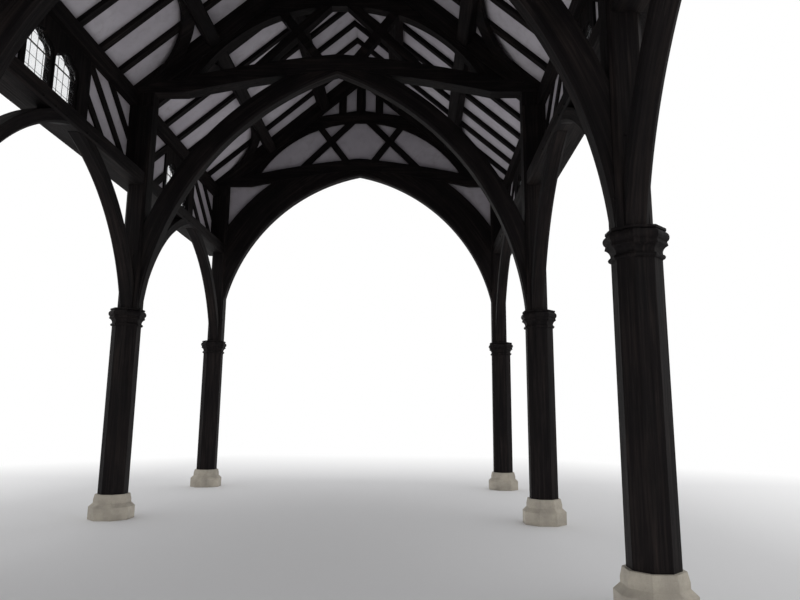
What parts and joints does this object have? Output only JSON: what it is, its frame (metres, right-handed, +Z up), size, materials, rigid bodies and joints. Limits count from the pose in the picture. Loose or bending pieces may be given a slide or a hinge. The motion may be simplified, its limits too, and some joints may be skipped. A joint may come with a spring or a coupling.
{
  "type": "timber-framed church nave",
  "caption": "Open timber nave frame with octagonal posts, arched braces, a clerestory of raking studs and cusped windows, and a trussed roof with plaster panels.",
  "frame": {"origin": "centre of the plan, at floor level under the plinths", "axes": "+Y along the nave to the east, +X across it to the south, +Z up"},
  "size_m": [6.34, 15.5, 8.3797],
  "materials": {
    "oak": "dark stained, satin",
    "plaster": "matt",
    "stone": "matt",
    "covering": "matt",
    "glass": "clear"
  },
  "bodies": {
    "root": {"plinths": "stone", "posts_north": "oak", "posts_south": "oak", "arcade_arches_north": "oak", "arcade_arches_south": "oak", "arcade_plates_north": "oak", "arcade_plates_south": "oak", "clerestory_sills_north": "oak", "clerestory_sills_south": "oak", "clerestory_studs_north": "oak", "clerestory_studs_south": "oak", "window_frames_north": "oak", "window_frames_south": "oak", "window_panes_north": "glass", "window_panes_south": "glass", "clerestory_plaster_north": "plaster", "clerestory_plaster_south": "plaster", "wall_plate_north": "oak", "wall_plate_south": "oak", "tie_beams": "oak", "cross_braces_north": "oak", "cross_braces_south": "oak", "principals_north": "oak", "principals_south": "oak", "collars": "oak", "haunches_north": "oak", "haunches_south": "oak", "saltires_north": "oak", "saltires_south": "oak", "gable_studs": "oak", "gable_plaster_west": "plaster", "gable_plaster_east": "plaster", "purlins_north": "oak", "purlins_south": "oak", "wind_braces_north": "oak", "wind_braces_south": "oak", "rafters_north": "oak", "rafters_south": "oak", "roof_plaster_north": "plaster", "roof_plaster_south": "plaster", "roof_covering_north": "covering", "roof_covering_south": "covering"}
  },
  "joints": []
}
